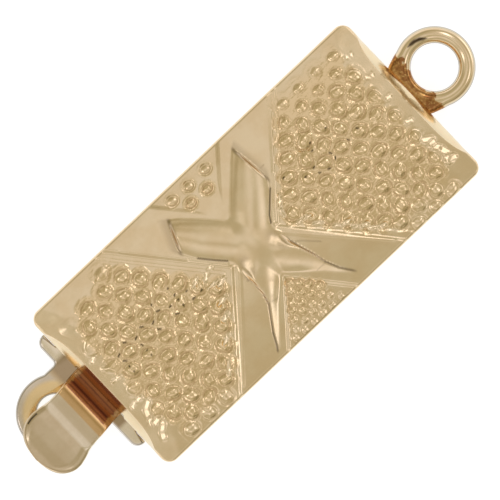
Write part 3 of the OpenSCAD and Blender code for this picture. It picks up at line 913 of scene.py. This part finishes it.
def eyelet_piece():
    """Round wire ring whose outer side is drawn out into a flat neck towards the cover.

    A torus, with the points that face the cover moved towards the neck's end by a weight
    that eases in round the ring and round the wire.
    """
    around = np.linspace(0, 2 * np.pi, 144, endpoint=False)[:, None]
    wire = np.linspace(0, 2 * np.pi, 56, endpoint=False)[None]
    radius = EYELET_R + WIRE_R * np.cos(wire)
    x = EYELET[0] + radius * np.cos(around)
    y = EYELET[1] + radius * np.sin(around)
    z = EYELET[2] + WIRE_R * np.sin(wire)
    off = np.abs(np.mod(around, 2 * np.pi) - np.pi)
    weight = ease((NECK_TURN - off) / NECK_SOFT) * ease(np.cos(wire) / 0.9 + 0.1)
    target_y = EYELET[1] + NECK_HALF * np.clip(np.sin(around) / np.sin(1.0), -1.0, 1.0)
    target_z = EYELET[2] + NECK_H * np.sin(wire)
    x = x + (NECK_X - x) * weight
    y = y + (target_y - y) * weight ** 1.5
    z = z + (target_z - z) * weight
    number = np.arange(x.size).reshape(x.shape)
    faces = [grid_faces(number, wrap_rows=True, wrap_columns=True)]
    piece = new_piece("eyelet_wire", np.stack([x, y, z], -1).reshape(-1, 3), faces, outward=True)
    # Painted shade on the wire's inner and outer sides, where they face sideways
    mark(piece, "rim", ease((np.abs(np.cos(wire)) - 0.70) / 0.28) * (1.0 - weight))
    # A painted dark reflection on the top of the wire
    start_x, stop_x = EYELET_DARK_REFLECTION[0][0] - 0.04, EYELET_DARK_REFLECTION[-1][0] + 0.04
    width = 0.015 + 0.055 * ease((x - start_x) / 0.25) * ease((stop_x - x) / 0.25)
    mark(piece, "shade_and_specks", drawn_line(x, y, EYELET_DARK_REFLECTION, width) * (z > EYELET[2]))
    return piece


def block_piece(name, low, high, rounding):
    """Plain block with rounded edges."""
    points = np.array([[x, y, z] for x in (low[0], high[0]) for y in (low[1], high[1])
                       for z in (low[2], high[2])])
    faces = np.array([[0, 1, 3, 2], [4, 6, 7, 5], [0, 4, 5, 1], [2, 3, 7, 6], [0, 2, 6, 4], [1, 5, 7, 3]])
    piece = new_piece(name, points, [faces], outward=True)
    bevel = piece.modifiers.new("rounded edges", "BEVEL")
    bevel.width = rounding * MM
    bevel.segments = 3
    bevel.limit_method = "ANGLE"
    return piece


def box_piece():
    """Bottom plate of the box."""
    low, high = node_size("box")
    shift = np.array([SHIFT_X, 0.0, 0.0])
    return block_piece("box_bottom", low - shift, high - shift, 0.05)


def end_wall_piece():
    """End wall of the box, inside the skirt, that the eyelet's neck is soldered to."""
    half_l, half_w = HALF_L - SHEET_T - WALL_GAP, HALF_W - SHEET_T - WALL_GAP
    low, high = (half_l - END_WALL_T, -half_w, END_WALL_Z[0]), (half_l, half_w, END_WALL_Z[1])
    return block_piece("end_wall", low, high, 0.05)


# Where the finishes change, in millimetres. The brown painted reflection of the eyelet's
# neck on the cover's edge over the neck: its middle, and how far out it thins along X and Y.
NECK_REFLECTION = (8.27, 0.45)
NECK_REFLECTION_X = (0.09, 0.14)
NECK_REFLECTION_Y = (0.95, 1.15)

# The strap's painted shade begins and ends along X, and is paler away from the strap's middle
STRAP_MIDDLE_Y = 0.04
STRAP_SHADE_FROM = (-9.3, -9.2)
STRAP_SHADE_TO = (-8.0, -7.7)
STRAP_PALER_EDGES = (0.98, 1.10)

# The tongue: the browner strip begins along X, the ring's edge lies away from the ring's
# middle, and the shoulder's ends away from the shoulder's
BROWN_FROM = (-9.55, -9.15)
RING_EDGE = (1.18, 1.42)
SHOULDER_ENDS = (1.70, 1.95)

# The orange-brown painted shade on the eyelet's neck ends along X
NECK_SHADE_TO = (9.02, 9.12)

# Scale of the wear's pattern, per metre
WEAR_SCALE = 900.0


class Nodes:
    """Short calls for making nodes in one tree: values are numbers, colours or sockets."""

    def __init__(self, tree):
        self.tree = tree

    def add(self, kind, inputs=(), **settings):
        node = self.tree.nodes.new(kind)
        for key, value in settings.items():
            setattr(node, key, value)
        for key, value in dict(inputs).items():
            socket = node.inputs[key]
            if isinstance(value, bpy.types.NodeSocket):
                self.tree.links.new(value, socket)
            else:
                socket.default_value = value
        return node

    def math(self, operation, *values):
        return self.add("ShaderNodeMath", enumerate(values), operation=operation).outputs[0]

    def times(self, a, b):
        return self.math("MULTIPLY", a, b)

    def minus(self, a, b):
        return self.math("SUBTRACT", a, b)

    def off(self, value, middle):
        """How far a value is from a middle one, either way."""
        return self.math("ABSOLUTE", self.minus(value, middle))

    def ragged(self, value, noise, reach):
        """A value that noise moves by up to half the reach, either way."""
        return self.math("MULTIPLY_ADD", self.minus(noise, 0.5), reach, value)

    def place(self):
        """Place on the piece in Object coordinates."""
        return self.add("ShaderNodeTexCoord").outputs["Object"]

    def parts(self, vector):
        """X, Y and Z of a vector."""
        return self.add("ShaderNodeSeparateXYZ", {"Vector": vector}).outputs

    def mask(self, name):
        """One of the masks that mark() wrote."""
        return self.add("ShaderNodeAttribute", attribute_name=name).outputs["Fac"]

    def noise(self, vector, scale, detail=2.0, roughness=0.5):
        inputs = {"Vector": vector, "Scale": scale, "Detail": detail, "Roughness": roughness}
        return self.add("ShaderNodeTexNoise", inputs).outputs[0]

    def stretch(self, vector, scale, turn=0.0):
        """Coordinates turned round Z and scaled along each axis."""
        inputs = {"Vector": vector, "Rotation": (0.0, 0.0, turn), "Scale": scale}
        return self.add("ShaderNodeMapping", inputs).outputs[0]

    def bump(self, height, strength, distance, **others):
        inputs = {"Height": height, "Strength": strength, "Distance": distance, **others}
        return self.add("ShaderNodeBump", inputs).outputs[0]

    def span(self, value, low, high, to_low=0.0, to_high=1.0):
        """Smooth ramp of a value from one range to another."""
        inputs = {"Value": value, "From Min": low, "From Max": high, "To Min": to_low, "To Max": to_high}
        return self.add("ShaderNodeMapRange", inputs, interpolation_type="SMOOTHSTEP").outputs["Result"]

    def fall(self, value, low, high):
        """Smooth ramp from 1 at the low value to 0 at the high one."""
        return self.span(value, low, high, 1.0, 0.0)

    def mix(self, factor, a, b, blend_type="MIX"):
        """Colours a and b mixed by a factor."""
        a, b = ((*value, 1.0) if isinstance(value, tuple) else value for value in (a, b))
        inputs = {0: factor, 6: a, 7: b}
        return self.add("ShaderNodeMix", inputs, data_type="RGBA", blend_type=blend_type).outputs[2]

    def ramp(self, value, stops):
        """Colour for a value from 0 to 1, between stops that are pairs of place and colour."""
        node = self.add("ShaderNodeValToRGB", {"Fac": value})
        elements = node.color_ramp.elements
        while len(elements) < len(stops):
            elements.new(0.5)
        for element, (place, colour) in zip(elements, stops):
            element.position = place
            element.color = (*colour, 1.0)
        return node.outputs[0]


def plate_wear_group():
    """Shared finish of the gold plate: soft patches of tone, roughness and fine scratches."""
    group = bpy.data.node_groups.new("plate_wear", "ShaderNodeTree")
    for direction, names in (("INPUT", ("Scale", "Low Roughness", "High Roughness")),
                             ("OUTPUT", ("Patches", "Roughness", "Height"))):
        for name in names:
            group.interface.new_socket(name, in_out=direction, socket_type="NodeSocketFloat")
    make = Nodes(group)
    given = make.add("NodeGroupInput").outputs
    place = make.place()
    patches = make.noise(place, given["Scale"], 3.0, 0.55)
    grain = make.noise(place, make.times(given["Scale"], 9.0), 4.0, 0.7)
    scratches = make.noise(make.stretch(place, (1.0, 22.0, 22.0), 0.5), given["Scale"], 5.0, 0.75)
    both = make.math("ADD", make.times(grain, 0.5), make.times(scratches, 0.5))
    spread = make.minus(given["High Roughness"], given["Low Roughness"])
    rough = make.math("MULTIPLY_ADD", make.span(both, 0.35, 0.65), spread, given["Low Roughness"])
    make.add("NodeGroupOutput", {"Patches": make.span(patches, 0.35, 0.65), "Roughness": rough,
                                 "Height": both})
    return group


def gold(name, wear, pale, deep, roughness, extra=None, relief=None, dulling=None):
    """Polished gold plate: two tones in soft patches.

    extra(make, colour) adds stains, relief(make, normal) adds a bump, and
    dulling(make, roughness) makes parts duller.
    """
    material = bpy.data.materials.new(name)
    material.use_nodes = True
    shader = material.node_tree.nodes["Principled BSDF"]
    make = Nodes(material.node_tree)
    finish = make.add("ShaderNodeGroup", node_tree=wear)
    finish.inputs["Scale"].default_value = WEAR_SCALE
    finish.inputs["Low Roughness"].default_value = roughness[0]
    finish.inputs["High Roughness"].default_value = roughness[1]
    colour = make.mix(finish.outputs["Patches"], pale, deep)
    normal = make.bump(finish.outputs["Height"], 0.06, 0.00002)
    for socket, value, change in (("Base Color", colour, extra), ("Normal", normal, relief),
                                  ("Roughness", finish.outputs["Roughness"], dulling)):
        make.tree.links.new(change(make, value) if change else value, shader.inputs[socket])
    shader.inputs["Metallic"].default_value = 1.0
    return material


def cover_stains_and_shade(make, colour):
    """Browner gold in the punched fields, brown film in the grooves, and painted shade in
    creases, on the bars and in the saddles, with dark specks.

    A ragged strip of brown painted reflection of the neck lies along the cover's edge over
    the eyelet's neck.
    """
    colour = make.mix(make.times(make.mask("punched"), 0.80), colour, (0.94, 0.69, 0.36))
    colour = make.mix(make.times(make.mask("hollow"), 0.45), colour, (0.52, 0.31, 0.12))
    # Painted shade on the bars, in creases and in the saddles, and dark specks
    colour = make.mix(make.mask("shade_and_specks"), colour, (0.11, 0.065, 0.018))
    place = make.place()
    x, y, _ = make.parts(place)
    # Painted reflection of the eyelet's neck on the cover's edge
    along = make.ragged(x, make.noise(place, 2600.0), 0.6 * MM)
    middle = make.off(along, *along_x(NECK_REFLECTION[0]))
    aside = make.off(y, NECK_REFLECTION[1] * MM)
    film_and_shade = make.times(make.span(middle, *in_metres(*NECK_REFLECTION_X), 0.70, 0.0),
                      make.fall(aside, *in_metres(*NECK_REFLECTION_Y)))
    return make.mix(film_and_shade, colour, (0.48, 0.32, 0.13))


def cover_chatter(make, normal):
    """Fine streaks across the punched fields, as a bump over the normal."""
    streaks = make.noise(make.stretch(make.place(), (0.45, 1.0, 1.0)), 7500.0)
    return make.bump(make.times(streaks, make.mask("punched")), 1.0, 0.000022, Normal=normal)


def cover_dulling(make, roughness):
    """Duller metal outside the punched fields, and still duller on the bars."""
    plain = make.minus(1.0, make.mask("punched"))
    duller = make.math("MULTIPLY_ADD", plain, 0.11, roughness)
    return make.math("MULTIPLY_ADD", make.mask("bars"), 0.035, duller)


# Tones along the leaf, greyer on the tab and copper-brown painted shade and reflection where
# the strap dives: place along X, and what the gold's colour is multiplied by
STRAP_SHADE_TINTS = {
    -12.0: (0.80, 0.75, 0.64), -10.46: (0.80, 0.75, 0.64), -10.34: (1.0, 1.0, 0.98),
    -10.14: (1.0, 1.0, 0.98), -10.04: (0.82, 0.79, 0.70), -9.68: (0.82, 0.79, 0.70),
    -9.62: (0.78, 0.60, 0.36),
    -9.24: (0.76, 0.56, 0.32), -9.21: (0.30, 0.13, 0.09), -9.15: (0.50, 0.28, 0.16),
    -9.10: (0.22, 0.09, 0.07), -9.04: (0.40, 0.19, 0.13), -8.97: (0.20, 0.07, 0.06),
    -8.93: (0.09, 0.03, 0.03), -8.88: (0.26, 0.11, 0.08), -8.80: (0.34, 0.14, 0.07),
    -8.64: (0.34, 0.14, 0.07), -8.60: (0.20, 0.08, 0.05), -8.55: (0.38, 0.17, 0.08),
    -8.0: (0.30, 0.12, 0.06), -7.6: (0.95, 0.93, 0.88)}


def strap_tints_and_shade(make, colour):
    """Greyer tab, and mottled copper-brown painted shade and reflection where the strap dives, paler at
    its edges.
    """
    place = make.place()
    x, y, _ = make.parts(place)
    first, last = min(STRAP_SHADE_TINTS), max(STRAP_SHADE_TINTS)
    low, high = along_x(first, last)
    run = make.add("ShaderNodeMapRange", {"Value": x, "From Min": low, "From Max": high}).outputs[0]
    tint = make.ramp(run, [((p - first) / (last - first), c) for p, c in STRAP_SHADE_TINTS.items()])
    mottle = make.noise(make.stretch(place, (2.4, 0.7, 1.0)), 5200.0, 4.0, 0.7)
    aside = make.off(make.ragged(y, mottle, 0.4 * MM), STRAP_MIDDLE_Y * MM)
    strap = make.times(make.span(x, *along_x(*STRAP_SHADE_FROM)), make.fall(x, *along_x(*STRAP_SHADE_TO)))
    paler_edges = make.times(make.span(aside, *in_metres(*STRAP_PALER_EDGES)), strap)
    darker = make.times(make.span(mottle, 0.50, 0.70, 0.0, 0.4), strap)
    # Painted shade and reflection on the strap where it dives under the cover
    film_and_shade = make.mix(darker, make.mix(1.0, colour, tint, "MULTIPLY"), (0.10, 0.04, 0.02))
    film_and_shade = make.mix(make.times(paler_edges, 0.6), film_and_shade, (0.62, 0.38, 0.15))
    # A painted dark reflection on the tab's rim
    return make.mix(make.mask("shade_and_specks"), film_and_shade, (0.05, 0.03, 0.02))


def ring_stains(make, colour):
    """Silvery shoulder ends and rim, and a browner strip between the ring and the cover."""
    x, y, _ = make.parts(make.place())
    flat = make.add("ShaderNodeCombineXYZ", {"X": x, "Y": y}).outputs[0]
    middle = (*along_x(RING_X), RING_Y * MM, 0.0)
    away = make.add("ShaderNodeVectorMath", {0: flat, 1: middle}, operation="DISTANCE").outputs["Value"]
    brown = make.span(x, *along_x(*BROWN_FROM))
    outside = make.times(make.span(away, *in_metres(*RING_EDGE)), make.minus(1.0, brown))
    shoulder_end = make.span(make.off(y, SHOULDER_Y * MM), *in_metres(*SHOULDER_ENDS))
    colour = make.mix(outside, colour, (0.76, 0.63, 0.44))
    colour = make.mix(brown, colour, (0.50, 0.36, 0.20))
    colour = make.mix(shoulder_end, colour, (0.97, 0.82, 0.57))
    return make.mix(make.mask("rim"), colour, (0.62, 0.55, 0.43))


def eyelet_shade(make, colour):
    """Orange-brown painted shade on the neck of the eyelet with a ragged edge, painted shade on the wire's
    sides, and a painted dark reflection on its top.
    """
    place = make.place()
    coarse = make.noise(place, 3200.0, 3.0)
    fine = make.noise(place, 11000.0, 3.0)
    along = make.ragged(make.parts(place)[0], coarse, 0.9 * MM)
    neck_shade = make.fall(along, *along_x(*NECK_SHADE_TO))
    film_and_shade = make.mix(make.span(coarse, 0.38, 0.62), (0.34, 0.14, 0.04), (0.58, 0.30, 0.09))
    film_and_shade = make.mix(make.span(fine, 0.50, 0.75), film_and_shade, (0.72, 0.44, 0.15))
    # Painted shade on the wire's sides
    colour = make.mix(make.mask("rim"), colour, (0.54, 0.47, 0.36))
    colour = make.mix(make.mask("shade_and_specks"), colour, (0.09, 0.055, 0.025))
    return make.mix(neck_shade, colour, film_and_shade)


def studio():
    """Light tent: brightness as a function of where in the tent a direction points.

    p and q are the direction's stereographic coordinates, x/(1+z) and y/(1+z): the slopes
    of a polished face that shows that part of the tent to an eye straight above.
    """
    world = bpy.data.worlds.new("light_tent")
    bpy.context.scene.world = world
    world.use_nodes = True
    world.node_tree.nodes.clear()
    make = Nodes(world.node_tree)
    way_x, way_y, way_z = make.parts(make.add("ShaderNodeTexCoord").outputs["Generated"])
    reach = make.math("MAXIMUM", make.math("ADD", way_z, 1.0), 0.05)
    p = make.math("DIVIDE", way_x, reach)
    q = make.math("DIVIDE", way_y, reach)
    side = make.math("ABSOLUTE", p)

    def radius(x, y):
        """Distance of p and q from a point."""
        squares = [make.math("POWER", make.minus(a, b), 2.0) for a, b in ((p, x), (q, y))]
        return make.math("SQRT", make.math("ADD", *squares))

    def band(value, low, high, soft):
        """Smooth band between a low and a high value."""
        rise = make.span(value, low - soft, low + soft)
        return make.times(rise, make.fall(value, high - soft, high + soft))

    def spot(x, y, size, soft):
        """Round lamp at p = x, q = y."""
        return make.fall(radius(x, y), size - soft, size + soft)

    far = radius(0.0, 0.0)
    narrow = make.fall(side, 0.14, 0.26)
    beside = make.times(make.fall(side, 0.22, 0.34), make.span(side, 0.125, 0.165))
    bend = make.minus(q, make.math("MULTIPLY_ADD", side, 0.55, -0.02))
    patches = [
        # The tent's middle, brighter on its upper side, with a bent line of light above
        (0.09, make.times(band(q, -0.034, 0.19, 0.006), make.fall(side, 0.04, 0.09))),
        (-0.11, make.times(band(q, -0.20, -0.030, 0.006), band(side, -1.0, 0.16, 0.05))),
        (1.10, make.times(band(bend, -0.026, 0.026, 0.012), beside)),
        # Lamps, the first three of them strong
        (0.90, spot(0.29, 0.14, 0.06, 0.035)),
        (0.84, spot(-0.29, 0.14, 0.06, 0.035)),
        (0.80, spot(0.21, -0.29, 0.07, 0.04)),
        (0.32, spot(-0.16, -0.27, 0.06, 0.04)),
        (0.15, spot(-0.18, -0.11, 0.10, 0.07)),
        (0.18, spot(0.28, -0.17, 0.09, 0.06)),
        # Darker bands, a dark lower end, and bright lower sides
        (-0.15, band(far, 0.42, 0.56, 0.05)),
        (-0.15, make.times(band(q, 0.20, 0.36, 0.04), narrow)),
        (-0.09, make.times(band(q, 0.36, 0.62, 0.04), make.fall(side, 0.34, 0.50))),
        (-0.04, make.times(band(q, -0.56, -0.38, 0.05), narrow)),
        (-0.09, make.times(band(p, -0.19, -0.06, 0.03), band(q, -0.06, 0.13, 0.03))),
        (-0.45, make.fall(q, -0.72, -0.52)),
        (0.55, make.times(band(q, -0.50, 0.10, 0.08), make.span(side, 0.60, 0.74)))]
    light = make.span(far, 0.66, 0.92, 0.62, 1.05)
    for weight, mask in patches:
        light = make.math("MULTIPLY_ADD", mask, weight, light)
    light = make.math("MAXIMUM", light, 0.02)
    tint = make.ramp(light, ((0.42, (1.0, 0.95, 0.74)), (0.67, (1.0, 0.985, 1.03)),
                             (1.0, (1.0, 1.0, 1.16))))
    background = make.add("ShaderNodeBackground", {"Color": tint, "Strength": light})
    make.add("ShaderNodeOutputWorld", {0: background.outputs[0]})


# The table's half side, and the camera: the photo's side in pixels and its scale, the lens,
# where it looks, and the direction that is the photo's right
TABLE_HALF = 0.6
PHOTO_SIDE = 500
PIXELS_PER_MM = 25.5
LENS = 400.0
SENSOR = 36.0
AIM = (-0.055, -0.02, 1.9)
PHOTO_RIGHT = (0.7254, -0.6884)


def table():
    """Plain white table under the clasp, lit a little from below like a light table. Its glow is
    painted light: stronger near the clasp, which washes out the clasp's shadow, and white to
    the camera but bluish in reflections.
    """
    corners = [(x * TABLE_HALF, y * TABLE_HALF, 0.0) for x, y in ((-1, -1), (1, -1), (1, 1), (-1, 1))]
    mesh = bpy.data.meshes.new("table")
    mesh.from_pydata(corners, [], [(0, 1, 2, 3)])
    floor = bpy.data.objects.new("table", mesh)
    bpy.context.scene.collection.objects.link(floor)
    material = bpy.data.materials.new("white_table")
    material.use_nodes = True
    shader = material.node_tree.nodes["Principled BSDF"]
    make = Nodes(material.node_tree)
    away = make.add("ShaderNodeVectorMath", {0: make.place()}, operation="LENGTH").outputs["Value"]
    seen = make.add("ShaderNodeLightPath").outputs["Is Camera Ray"]
    # Painted light: the glow is stronger near the clasp to wash out its shadow, and stronger to the camera
    glow = make.math("MAXIMUM", make.span(away, 0.010, 0.026, 0.72, 0.34), make.times(seen, 0.80))
    tint = make.mix(seen, (0.92, 1.02, 1.20), (1.0, 1.0, 1.0))
    shader.inputs["Base Color"].default_value = (0.5, 0.5, 0.5, 1.0)
    shader.inputs["Roughness"].default_value = 0.9
    make.tree.links.new(tint, shader.inputs["Emission Color"])
    make.tree.links.new(glow, shader.inputs["Emission Strength"])
    mesh.materials.append(material)


def camera():
    """Long lens straight above, turned so that the clasp runs up to the right."""
    distance = PHOTO_SIDE / PIXELS_PER_MM * MM * LENS / SENSOR
    data = bpy.data.cameras.new("camera")
    data.lens = LENS
    data.sensor_width = SENSOR
    data.clip_start = 0.001
    eye = bpy.data.objects.new("camera", data)
    bpy.context.scene.collection.objects.link(eye)
    right = Vector((*PHOTO_RIGHT, 0.0)).normalized()
    up = Vector((-right.y, right.x, 0.0))
    turn = Matrix((right, up, right.cross(up))).transposed().to_4x4()
    eye.matrix_world = Matrix.Translation(Vector(AIM) * MM + Vector((0, 0, distance))) @ turn
    bpy.context.scene.camera = eye


def build():
    """All pieces with their finishes."""
    wear = plate_wear_group()
    pale, deep = (0.95, 0.745, 0.445), (0.91, 0.69, 0.39)
    cover_gold = gold("cover_gold", wear, pale, deep, (0.04, 0.09), cover_stains_and_shade, cover_chatter,
                      cover_dulling)
    box_gold = gold("box_gold", wear, (0.92, 0.70, 0.40), (0.86, 0.62, 0.33), (0.14, 0.26))
    eyelet_gold = gold("eyelet_gold", wear, pale, deep, (0.07, 0.14), eyelet_shade)
    tongue_gold = gold("tongue_gold", wear, (0.96, 0.70, 0.34), (0.93, 0.66, 0.31), (0.10, 0.2),
                       ring_stains)
    leaf_gold = gold("leaf_gold", wear, (0.93, 0.78, 0.55), (0.88, 0.72, 0.49), (0.10, 0.2),
                     strap_tints_and_shade)
    finish_piece(cover_piece(), "housing", "cover_gold", cover_gold, "cover")
    finish_piece(box_piece(), "housing", "box_gold", box_gold, "box")
    finish_piece(eyelet_piece(), "housing", "eyelet_gold", eyelet_gold, "eyelet")
    finish_piece(end_wall_piece(), "housing", "eyelet_gold", box_gold, "eyelet")
    finish_piece(tongue_piece(), "tongue", "tongue_gold", tongue_gold, "tongue_plate")
    finish_piece(leaf_piece(), "lever", "leaf_gold", leaf_gold, "spring_leaf")


build()
studio()
table()
camera()
bpy.context.scene.view_settings.view_transform = "Standard"
